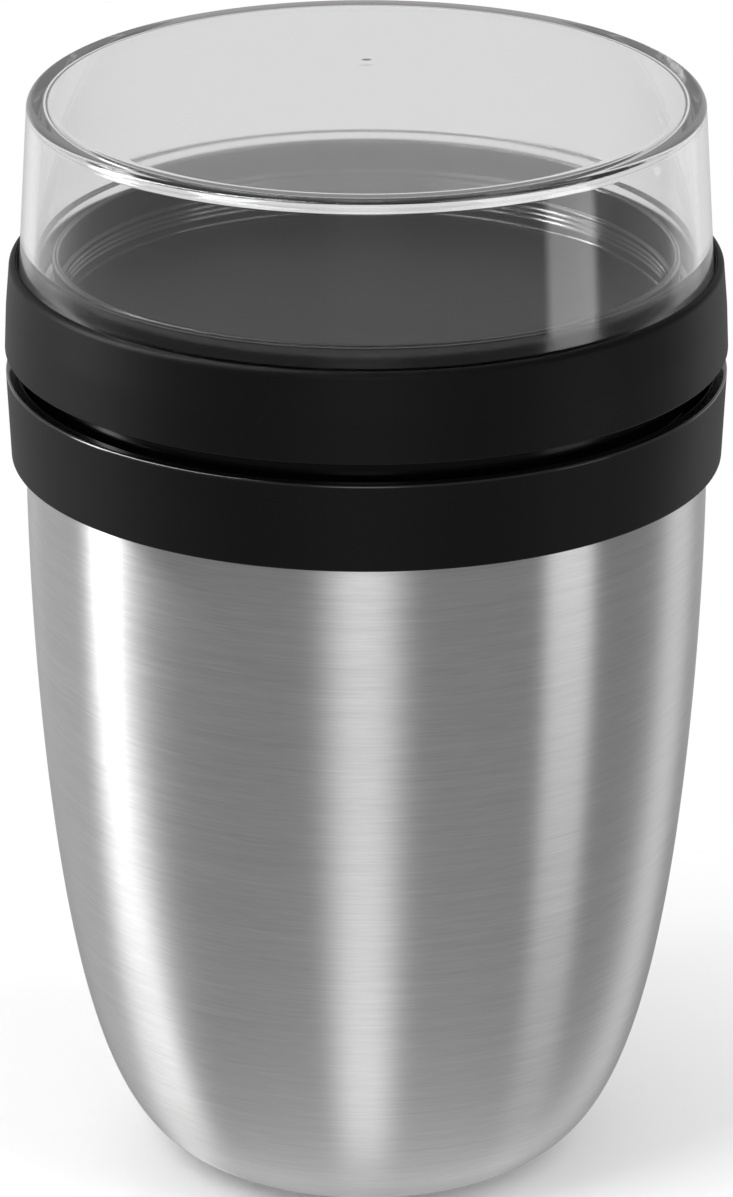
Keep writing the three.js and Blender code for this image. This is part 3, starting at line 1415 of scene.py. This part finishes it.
@dataclass(frozen=True)
class Thread:
    """Short rounded ridges of a quick screw thread, one for each start.

    Attributes:
        radius: The radius of the wall that the ridges stand on.
        crest: How far they stand out. Below zero they stand inwards.
        width: The height of a ridge along the axis.
        start: The height at which the ridges start.
        turn: The angle at which the first ridge starts, in degrees.
        span: The angle that one ridge covers, in degrees.
        lead: The rise in one whole turn.
        starts: The number of ridges.
        root: How deep a ridge is let into the wall.
        taper: The share of a ridge over which each end runs out.
        flank: The power that shapes the flanks, where 1 is a plain wave.
        along: Faces along a ridge.
        around: Faces round a ridge.
    """

    radius: float
    crest: float
    width: float
    start: float
    turn: float
    span: float
    lead: float = 16.0
    starts: int = 4
    root: float = 0.15
    taper: float = 0.16
    flank: float = 0.6
    along: int = 64
    around: int = 16

    def grow(self, name: str, material: bpy.types.Material) -> bpy.types.Object:
        """Make the ridges with Geometry Nodes.

        Args:
            name: The name of the piece.
            material: The material of the ridges.

        Returns:
            The ridges as a plain mesh.
        """
        tree = bpy.data.node_groups.new(name + "_rule", "GeometryNodeTree")
        graph = Graph(tree)
        sizes = {
            "Radius": self.radius * MM,
            "Crest": self.crest * MM,
            "Width": self.width * MM,
            "Start": self.start * MM,
            "Lead": self.lead * MM,
            "Root": math.copysign(self.root, self.crest) * MM,
        }
        size, settings = graph.inputs(sizes)
        # One ridge is a grid rolled into a tube, with its seam at the root.
        grid, share, round_share = graph.grid(self.along, self.around, 1.0)
        sweep = (round_share - 0.5) * (2 * math.pi)
        swell = share.smooth(0.0, self.taper) * (1 - share.smooth(1 - self.taper, 1.0))
        angle = share * math.radians(self.span) + math.radians(self.turn)
        bulge = (graph.math("COSINE", sweep) * 0.5 + 0.5) ** self.flank
        radius = size["Radius"] - size["Root"] + bulge * (size["Crest"] + size["Root"]) * swell
        rise = share * (self.span / 360) * size["Lead"] + size["Start"]
        height = rise + graph.math("SINE", sweep) * swell * size["Width"] * 0.5
        ridge = graph.bend(grid, graph.polar(radius, angle, height))
        # The copies stand on points at the origin, each turned by its share of a turn.
        line = {"Count": self.starts, "Offset": (0.0, 0.0, 0.0)}
        anchors = graph.node("GeometryNodeMeshLine", line, mode="OFFSET")
        spin = graph.value("GeometryNodeInputIndex") * (2 * math.pi / self.starts)
        rotation = graph.node("ShaderNodeCombineXYZ", {0: 0.0, 1: 0.0, 2: spin}).outputs[0]
        ring = {"Points": anchors.outputs[0], "Instance": ridge.outputs[0], "Rotation": rotation}
        graph.finish(graph.node("GeometryNodeInstanceOnPoints", ring), material)
        return facing_out(grown(name, tree, settings))


@dataclass
class Collar:
    """The lower black ring round the mouth, with the flat seal under its flange.

    Attributes:
        bottom: The height of its lower edge.
        top: The height of its lip.
        bottom_radius: Its outer radius at the bottom.
        top_radius: Its outer radius at the lip.
        bore: The radius of the bore that takes the lid.
        flange_radius: The inner radius of its flange.
        flange_bottom: The height of the flange's underside.
        flange_top: The height of the flange's upper face.
        sleeve: The bore that grips the shell.
        seal_bottom: The height of the flat seal's underside.
        seal_top: The height of the flat seal's upper face.
        seal_inner: The inner radius of the flat seal.
        seal_outer: The outer radius of the flat seal.
        thread: The ridges in the bore.
    """

    bottom: float = 110.3
    top: float = 123.7
    bottom_radius: float = 52.6
    top_radius: float = 53.3
    bore: float = 51.4
    flange_radius: float = 49.2
    flange_bottom: float = 115.65
    flange_top: float = 117.25
    sleeve: float = 50.72
    seal_bottom: float = 114.6
    seal_top: float = 115.35
    seal_inner: float = 49.3
    seal_outer: float = 50.3
    thread: Thread = Thread(radius=51.4, crest=-0.8, width=1.2, start=120.0, turn=-44.0, span=60.0)

    def build(self, finishes: Finishes) -> None:
        """Build the collar and its seal.

        Args:
            finishes: The materials.
        """
        corners = [
            Corner(self.sleeve, self.bottom, round=0.25),
            Corner(self.bottom_radius, self.bottom, round=0.3),
            Corner(self.top_radius, self.top, round=0.35),
            Corner(self.bore, self.top, round=0.4),
            Corner(self.bore, self.flange_top, round=0.5),
            Corner(self.flange_radius, self.flange_top, round=0.4),
            Corner(self.flange_radius, self.flange_bottom, round=0.3),
            Corner(self.sleeve, self.flange_bottom, round=0.3),
        ]
        collar = turned("black_collar", rounded(corners))
        finishes.dress(collar, finishes.collar, Body.POT, "collar")
        ridges = self.thread.grow("collar_thread", finishes.material(finishes.ring))
        finishes.dress(ridges, finishes.ring, Body.POT)
        flat = [
            Corner(self.seal_inner, self.seal_bottom, round=0.2),
            Corner(self.seal_outer, self.seal_bottom, round=0.2),
            Corner(self.seal_outer, self.seal_top, round=0.2),
            Corner(self.seal_inner, self.seal_top, round=0.2),
        ]
        seal = turned("flat_seal", rounded(flat, steps=4), facets=128)
        finishes.dress(seal, finishes.seal, Body.POT, "collar_seal")


@dataclass
class PotSeal:
    """The stepped silicone ring on the nose of the lid.

    Attributes:
        inner: Its inner radius.
        waist: The outer radius of its foot.
        outer: The outer radius of its brim.
        foot: The height of its foot.
        shelf: The height of the step that the nose stands on.
        brim_bottom: The height of the brim's underside.
        brim_top: The height of the brim's upper face.
        grip: The radius that grips the nose.
    """

    inner: float = 46.7
    waist: float = 48.9
    outer: float = 49.9
    foot: float = 114.6
    shelf: float = 116.95
    brim_bottom: float = 117.55
    brim_top: float = 118.95
    grip: float = 48.0

    def build(self, finishes: Finishes) -> None:
        """Build the seal.

        Args:
            finishes: The materials.
        """
        corners = [
            Corner(self.inner, self.foot, round=0.4),
            Corner(self.waist, self.foot, round=0.6),
            Corner(self.waist, self.brim_bottom, round=0.3),
            Corner(self.outer, self.brim_bottom, round=0.4),
            Corner(self.outer, self.brim_top, round=0.4),
            Corner(self.grip, self.brim_top, round=0.3),
            Corner(self.grip, self.shelf, round=0.3),
            Corner(self.inner, self.shelf, round=0.4),
        ]
        ring = turned("pot_seal_ring", rounded(corners, steps=5), facets=160)
        finishes.dress(ring, finishes.seal, Body.SEAL, "pot_seal")


@dataclass
class TrayLid:
    """The black lid: neck, outer ring, channel for the cover, upstand and tray.

    Attributes:
        neck: The outer radius of the neck.
        neck_bore: The bore of the neck.
        nose: The outer radius of the nose that carries the pot seal.
        nose_bore: The bore of the nose.
        nose_bottom: The height of the nose's lower edge.
        shoulder: The height of the step between nose and neck.
        ledge: The inner radius of the ledge above the liner.
        ledge_bottom: The height of the ledge's underside.
        ledge_top: The height of the ledge's upper face.
        floor: The height of the tray's floor.
        floor_thickness: The thickness of that floor.
        tray: The radius of the tray at its floor.
        step: The height of the step in the tray's wall.
        step_width: The width of that step.
        draft: How far the tray's wall leans out below the step, and again above it.
        upstand: The outer radius of the upstand.
        upstand_top: The height of the upstand.
        upstand_round: How round its top is, where 1 is a half circle.
        channel: The height of the channel's floor.
        slot_top: The height of the slot between neck and ring.
        ring_bottom: The height of the ring's lower edge.
        ring_top: The height of the ring's upper edge.
        ring_bottom_radius: The ring's outer radius at the bottom.
        ring_belly_radius: Its outer radius halfway up.
        ring_belly_round: The rounding there.
        ring_top_radius: Its outer radius at the top.
        ring_bore: The bore of the ring round the cover.
        skirt_bore: The bore of the ring below the channel.
        cover_bore: The bore of the cover's skirt.
        groove_heights: The heights of the fine grooves in the tray's wall.
        groove_width: The width of a groove.
        groove_depth: The depth of a groove.
        liner_brim: The width of the liner's brim.
        liner_slope: The width of the slope inside that brim.
        liner_dish: How far the liner's middle hangs below its brim.
        seal_height: The height of the cover's seal.
        seal_lead: The share of that height at which its slope starts.
        gap: The clearance between neighbouring pieces.
        thread: The ridges on the neck.
    """

    neck: float = 50.2
    neck_bore: float = 47.8
    nose: float = 47.7
    nose_bore: float = 46.4
    nose_bottom: float = 117.25
    shoulder: float = 119.25
    ledge: float = 45.0
    ledge_bottom: float = 119.4
    ledge_top: float = 120.8
    floor: float = 133.4
    floor_thickness: float = 2.0
    tray: float = 44.5
    step: float = 137.8
    step_width: float = 0.4
    draft: float = 0.1
    upstand: float = 46.0
    upstand_top: float = 142.5
    upstand_round: float = 0.98
    channel: float = 134.4
    slot_top: float = 131.6
    ring_bottom: float = 126.8
    ring_top: float = 140.4
    ring_bottom_radius: float = 53.4
    ring_belly_radius: float = 53.15
    ring_belly_round: float = 40.0
    ring_top_radius: float = 52.6
    ring_bore: float = 51.4
    skirt_bore: float = 51.9
    cover_bore: float = 47.9
    groove_heights: tuple[float, ...] = (136.8, 136.0, 135.2)
    groove_width: float = 0.6
    groove_depth: float = 0.28
    liner_brim: float = 4.5
    liner_slope: float = 1.5
    liner_dish: float = 0.5
    seal_height: float = 3.8
    seal_lead: float = 0.8
    gap: float = 0.3
    thread: Thread = Thread(radius=50.2, crest=0.75, width=1.2, start=119.96, turn=0.0, span=70.0)

    def build(self, finishes: Finishes, nodes: dict[str, bpy.types.Object]) -> None:
        """Build the lid's pieces.

        Args:
            finishes: The materials.
            nodes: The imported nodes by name.
        """
        lid = turned("black_tray_lid", self.profile())
        finishes.dress(lid, finishes.lid, Body.LID, "tray_lid")
        ridges = self.thread.grow("neck_thread", finishes.material(finishes.ring))
        finishes.dress(ridges, finishes.ring, Body.LID)
        finishes.dress(self.liner(), finishes.ring, Body.LID, "lid_liner")
        finishes.dress(self.seal(), finishes.seal, Body.LID, "cover_seal")
        finishes.paint(nodes["lid_foam"], finishes.foam)

    def liner(self) -> bpy.types.Object:
        """Make the dished plate that closes the lid from below.

        Returns:
            The plate.
        """
        low = self.nose_bottom + self.gap
        high = self.ledge_bottom - self.gap
        wide = self.nose_bore - self.gap
        corners = [
            Corner(0.0, low),
            Corner(wide - self.liner_brim - self.liner_slope, low, round=1.5),
            Corner(wide - self.liner_brim, low + self.liner_dish, round=1.5),
            Corner(wide, low + self.liner_dish, round=0.3),
            Corner(wide, high, round=0.2),
            Corner(0.0, high),
        ]
        return turned("liner_plate", rounded(corners, closed=False))

    def seal(self) -> bpy.types.Object:
        """Make the seal in the channel that the cover slides over.

        Returns:
            The seal.
        """
        foot = self.channel + self.gap
        inner = self.upstand + self.gap
        outer = self.cover_bore - self.gap
        corners = [
            Corner(inner, foot, round=0.2),
            Corner(outer, foot, round=0.2),
            Corner(outer, foot + self.seal_height * self.seal_lead, round=0.3),
            Corner(inner, foot + self.seal_height, round=0.2),
        ]
        return turned("cover_seal_ring", rounded(corners, steps=4), facets=160)

    def grooves(self) -> list[Corner]:
        """Draw the fine grooves in the tray's wall under its step.

        Returns:
            The corners of the grooves from the top down.
        """
        corners = []
        for height in self.groove_heights:
            wall = self.tray + self.draft * (height - self.floor) / (self.step - self.floor)
            corners.append(Corner(wall, height + self.groove_width / 2, round=0.1))
            corners.append(Corner(wall + self.groove_depth, height, round=0.08))
            corners.append(Corner(wall, height - self.groove_width / 2, round=0.2))
        return corners

    def profile(self) -> list[Point]:
        """Draw the lid's profile.

        Returns:
            The profile, from the axis under the tray round to the axis on its floor.
        """
        under = self.floor - self.floor_thickness
        inner_top = self.tray + self.step_width + 2 * self.draft
        crest = (self.upstand - inner_top) / 2 * self.upstand_round
        belly = (self.ring_bottom + self.ring_top) / 2
        corners = [
            Corner(0.0, under),
            Corner(self.neck_bore, under, round=0.8),
            Corner(self.neck_bore, self.ledge_top, round=0.4),
            Corner(self.ledge, self.ledge_top, round=0.3),
            Corner(self.ledge, self.ledge_bottom, round=0.3),
            Corner(self.nose_bore, self.ledge_bottom, round=0.3),
            Corner(self.nose_bore, self.nose_bottom, round=0.3),
            Corner(self.nose, self.nose_bottom, round=0.4),
            Corner(self.nose, self.shoulder, round=0.3),
            Corner(self.neck, self.shoulder, round=0.4),
            Corner(self.neck, self.slot_top, round=0.4),
            Corner(self.skirt_bore, self.slot_top, round=0.4),
            Corner(self.skirt_bore, self.ring_bottom, round=0.25),
            Corner(self.ring_bottom_radius, self.ring_bottom, round=0.3),
            Corner(self.ring_belly_radius, belly, self.ring_belly_round),
            Corner(self.ring_top_radius, self.ring_top, round=0.95),
            Corner(self.ring_bore, self.ring_top, round=0.2),
            Corner(self.ring_bore, self.channel, round=0.5),
            Corner(self.upstand, self.channel, round=0.5),
            Corner(self.upstand, self.upstand_top, crest),
            Corner(inner_top, self.upstand_top, crest),
            Corner(self.tray + self.step_width + self.draft, self.step, round=0.15),
            Corner(self.tray + self.draft, self.step, round=0.4),
            *self.grooves(),
            Corner(self.tray, self.floor, round=0.6),
            Corner(0.0, self.floor),
        ]
        return rounded(corners, steps=7, closed=False)


@dataclass
class ClearCover:
    """The clear cover that stands in the lid's channel.

    Attributes:
        bottom: The height of its skirt's lower edge.
        top: The height of its top.
        skirt: The outer radius of its skirt.
        skirt_bore: The bore of its skirt.
        skirt_top: The height at which the skirt's thicker part ends.
        skirt_ease: The height of the slope from there to the wall.
        ring_top: The height at which the draft starts.
        draft_round: The rounding there.
        top_radius: The outer radius at the top.
        wall: The thickness of its wall.
        panel: The thickness of its top.
        crown: The radius at which the top starts to fall towards its edge.
        crown_round: The rounding there.
        fall: How far the top falls.
        edge: The rounding of its top edge.
        inner_edge: The rounding inside that edge.
        gate: The radius of the moulding mark on the top.
        gate_offset: How far the mark lies from the axis.
        gate_depth: The depth of the mark.
        gate_rings: Faces across the mark's radius.
        gate_reach: How far the close rings reach on each side of the mark's middle, in rings.
        flat: How far below the top a point may lie and still be part of it.
    """

    bottom: float = 135.0
    top: float = 165.1
    skirt: float = 51.1
    skirt_bore: float = 47.9
    skirt_top: float = 142.8
    skirt_ease: float = 0.4
    ring_top: float = 140.4
    draft_round: float = 10.0
    top_radius: float = 49.75
    wall: float = 2.6
    panel: float = 1.8
    crown: float = 46.6
    crown_round: float = 12.0
    fall: float = 0.38
    edge: float = 1.2
    inner_edge: float = 0.9
    gate: float = 1.4
    gate_offset: float = 17.0
    gate_depth: float = 0.08
    gate_rings: int = 6
    gate_reach: int = 9
    flat: float = 0.01

    def build(self, finishes: Finishes) -> None:
        """Build the cover.

        Args:
            finishes: The materials.
        """
        inner_top = self.top - self.panel
        corners = [
            Corner(0.0, inner_top),
            Corner(self.top_radius - self.wall, inner_top, self.inner_edge),
            Corner(self.skirt - self.wall, self.skirt_top + self.skirt_ease, round=0.5),
            Corner(self.skirt_bore, self.skirt_top, round=0.4),
            Corner(self.skirt_bore, self.bottom, round=0.4),
            Corner(self.skirt, self.bottom, round=0.5),
            Corner(self.skirt, self.ring_top, self.draft_round),
            Corner(self.top_radius, self.top - self.fall, self.edge),
            Corner(self.crown, self.top, self.crown_round),
            *self.rings(),
            Corner(0.0, self.top),
        ]
        dome = turned("clear_dome", rounded(corners, steps=8, closed=False), facets=2 * FACETS)
        self.mark(dome)
        finishes.dress(dome, finishes.clear, Body.COVER, "clear_cover")

    def rings(self) -> list[Corner]:
        """Give the top close rings where the moulding mark lies.

        Returns:
            The rings from the outside in.
        """
        rings = []
        for ring in range(self.gate_reach, -self.gate_reach - 1, -1):
            rings.append(Corner(self.gate_offset + self.gate * ring / self.gate_rings, self.top))
        return rings

    def mark(self, dome: bpy.types.Object) -> None:
        """Press the round moulding mark into the top.

        Args:
            dome: The cover's object.
        """
        for vertex in dome.data.vertices:
            if vertex.co.z < (self.top - self.flat) * MM:
                continue
            away = math.hypot(vertex.co.x, vertex.co.y - self.gate_offset * MM) / (self.gate * MM)
            if away < 1:
                vertex.co.z -= self.gate_depth * MM * (1 - away**2) ** 2


@dataclass(frozen=True)
class Strip:
    """A softbox as the studio shows it in a shiny surface, with its angles in degrees.

    Attributes:
        side: The angle of its middle from the camera, positive to the right.
        half: Half its width.
        soft: The width of its soft edges.
        light: Its brightness.
        low: The elevation of its lower edge. Below -90 it has none.
        high: The elevation of its upper edge. Above 90 it has none.
        fade: The height of its soft lower and upper edges.
    """

    side: float
    half: float
    soft: float
    light: float
    low: float = -120.0
    high: float = 120.0
    fade: float = 8.0

    def shown(self, graph: Graph, turn: Value, rise: Value) -> Value:
        """Give the light that the softbox adds in each direction.

        Args:
            graph: The world's nodes.
            turn: The direction's angle from the camera in degrees.
            rise: The direction's elevation in degrees.

        Returns:
            The light.
        """
        off = abs(graph.math("WRAP", turn - self.side, 180.0, -180.0))
        lit = 1 - off.smooth(self.half - self.soft / 2, self.half + self.soft / 2)
        if self.low > -90:
            lit = lit * rise.smooth(self.low - self.fade / 2, self.low + self.fade / 2)
        if self.high < 90:
            lit = lit * (1 - rise.smooth(self.high - self.fade / 2, self.high + self.fade / 2))
        return lit * self.light


@dataclass(frozen=True)
class Lamp:
    """A square soft lamp.

    Attributes:
        name: Its name.
        place: Its place.
        size: The length of its side.
        power: Its power in watts.
    """

    name: str
    place: Vector
    size: float
    power: float


@dataclass
class Studio:
    """The floor, the white surroundings, the lamps and the camera.

    Attributes:
        strips: The softboxes that show in shiny surfaces.
        lamps: The lamps over the pot.
        aim: The height that the lamps look at.
        room: The light of the rest of the room in shiny surfaces.
        table: How much brighter the room is towards the floor.
        table_low: The elevation below which it is so in full, in degrees.
        table_high: The elevation above which it isn't, in degrees.
        fill: The light of the room on dull surfaces.
        backdrop: The light of the backdrop as it shows through the clear cover.
        behind: The angle from the camera at which the backdrop starts, in degrees.
        behind_full: The angle at which it is there in full, in degrees.
        reach: Half the side of the floor.
        drop: How far the floor lies below the pot.
        pale: The tone of the floor.
        shadow: The distance from the axis up to which the floor keeps its own tone.
        shadow_end: The distance from which it is white.
        distance: The camera's distance from the axis.
        height: The camera's height.
        tilt: The camera's turn about X in degrees.
        lens: The focal length in millimetres.
        sensor: The width of the camera's sensor in millimetres.
        sight: How far the camera sees.
    """

    strips: tuple[Strip, ...] = (
        # The softbox on the left, a brighter part higher up and a dimmer one lower down.
        Strip(-96.5, 6.8, 6.5, 11.0, -9.0),
        Strip(-97.0, 4.5, 5.0, 15.0, 12.0, 75.0, 10.0),
        Strip(-99.0, 5.0, 7.0, 4.2, -46.0, -34.0, 24.0),
        # The softbox at the camera and a dimmer part lower down.
        Strip(-1.0, 11.0, 16.0, 2.0, -9.0, 40.0),
        Strip(-1.0, 12.5, 18.0, 1.25, -60.0, -33.0, 24.0),
        # The low softbox on the right.
        Strip(71.5, 9.5, 5.0, 3.2, -19.0, -7.0),
        # Dim panels at the back on the right and on the left.
        Strip(133.0, 12.0, 10.0, 0.7, -120.0, 5.0),
        Strip(-135.0, 22.0, 20.0, 0.36, -120.0, 5.0),
        # The backdrop.
        Strip(180.0, 34.0, 12.0, 0.32, -20.0, 36.0),
    )
    lamps: tuple[Lamp, ...] = (
        Lamp("key", (-0.9, -0.7, 1.3), size=0.9, power=14.0),
        Lamp("fill", (1.0, -0.5, 1.1), size=1.1, power=9.0),
    )
    aim: float = 0.09
    room: float = 0.27
    table: float = 0.46
    table_low: float = -75.0
    table_high: float = -20.0
    fill: float = 0.85
    backdrop: float = 0.8
    behind: float = 125.0
    behind_full: float = 150.0
    reach: float = 6.0
    drop: float = 0.0003
    pale: float = 0.86
    shadow: float = 0.045
    shadow_end: float = 0.16
    distance: float = 1.25
    height: float = 0.5588
    tilt: float = 69.3
    lens: float = 269.15
    sensor: float = 36.0
    sight: float = 50.0

    def build(self) -> None:
        """Set up the floor, the world, the lamps and the camera."""
        self.floor()
        self.world()
        for lamp in self.lamps:
            self.hang(lamp)
        self.camera()

    def floor(self) -> None:
        """Lay a pale floor that keeps the pot's shadow and is white further off."""
        mesh = bpy.data.meshes.new("floor")
        sides = ((-1, -1), (1, -1), (1, 1), (-1, 1))
        points = [(across * self.reach, deep * self.reach, 0.0) for across, deep in sides]
        mesh.from_pydata(points, [], [(0, 1, 2, 3)])
        mesh.materials.append(self.floor_material())
        floor = placed("floor", mesh)
        floor.location.z = -self.drop
        floor.visible_glossy = False

    def floor_material(self) -> bpy.types.Material:
        """Make the floor's material, which can be seen through from below.

        Returns:
            The material.
        """
        material = bpy.data.materials.new("pale_floor")
        graph = Graph(cleared(material))
        place = graph.node("ShaderNodeTexCoord").outputs["Object"]
        away = graph.value("ShaderNodeVectorMath", {0: place}, "Value", operation="LENGTH")
        seen = graph.value("ShaderNodeLightPath", output="Is Camera Ray")
        through = graph.value("ShaderNodeLightPath", output="Is Transmission Ray")
        below = graph.value("ShaderNodeNewGeometry", output="Backfacing")
        white = seen.at_least(through) * away.smooth(self.shadow, self.shadow_end)
        light = seen + (1 - seen) * self.backdrop
        dull = graph.node("ShaderNodeBsdfDiffuse", {"Color": grey(self.pale)})
        bright = graph.node("ShaderNodeEmission", {"Color": grey(1.0), "Strength": light})
        clear = graph.node("ShaderNodeBsdfTransparent")
        shown = graph.blend(below, graph.blend(white, dull, bright), clear)
        graph.node("ShaderNodeOutputMaterial", {"Surface": shown.outputs[0]})
        return material

    def world(self) -> None:
        """Make the surroundings white to the eye and a studio with softboxes in shiny surfaces."""
        world = bpy.data.worlds.new("studio")
        bpy.context.scene.world = world
        graph = Graph(cleared(world))
        across, deep, up = graph.split(graph.node("ShaderNodeTexCoord").outputs["Generated"])
        turn = graph.math("ARCTAN2", across, deep * -1.0) * math.degrees(1.0)
        rise = graph.math("ARCSINE", up) * math.degrees(1.0)
        shine = (1 - rise.smooth(self.table_low, self.table_high)) * self.table + self.room
        for strip in self.strips:
            shine = strip.shown(graph, turn, rise) + shine
        seen = graph.value("ShaderNodeLightPath", output="Is Camera Ray")
        glossy = graph.value("ShaderNodeLightPath", output="Is Glossy Ray")
        through = graph.value("ShaderNodeLightPath", output="Is Transmission Ray")
        # Light through the cover from the back shows the backdrop, and other such light the softboxes.
        beyond = through * abs(turn).smooth(self.behind, self.behind_full)
        direct = seen.at_least(beyond)
        shiny = glossy.at_least(through)
        backdrop = seen + (1 - seen) * beyond * self.backdrop
        mirrored = (1 - direct) * shiny
        rest = (1 - direct) * (1 - shiny)
        light = backdrop + mirrored * shine + rest * self.fill
        ground = graph.node("ShaderNodeBackground", {"Color": grey(1.0), "Strength": light})
        graph.node("ShaderNodeOutputWorld", {"Surface": ground.outputs[0]})

    def hang(self, lamp: Lamp) -> None:
        """Hang one lamp that looks at the pot.

        Args:
            lamp: The lamp.
        """
        data = bpy.data.lights.new(lamp.name, "AREA")
        data.size = lamp.size
        data.energy = lamp.power
        hung = placed(lamp.name, data)
        hung.location = lamp.place
        across, deep, up = lamp.place
        lean = math.atan2(math.hypot(across, deep), up - self.aim)
        hung.rotation_euler = (lean, 0.0, math.atan2(across, -deep))
        hung.visible_glossy = False

    def camera(self) -> None:
        """Set the camera at the photograph's viewing angle."""
        data = bpy.data.cameras.new("camera")
        data.lens = self.lens
        data.sensor_width = self.sensor
        data.clip_end = self.sight
        camera = placed("camera", data)
        camera.location = (0.0, -self.distance, self.height)
        camera.rotation_euler = (math.radians(self.tilt), 0.0, 0.0)
        bpy.context.scene.camera = camera


def main() -> None:
    """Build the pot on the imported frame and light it."""
    logging.basicConfig(level=logging.INFO, format="%(name)s: %(message)s")
    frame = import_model()
    bpy.context.scene.view_settings.view_transform = "Standard"
    nodes = frame["nodes"]
    finishes = Finishes()
    SteelPot().build(finishes, nodes)
    Collar().build(finishes)
    PotSeal().build(finishes)
    TrayLid().build(finishes, nodes)
    ClearCover().build(finishes)
    Studio().build()
    bpy.context.view_layer.update()


if __name__ == "__main__":
    main()
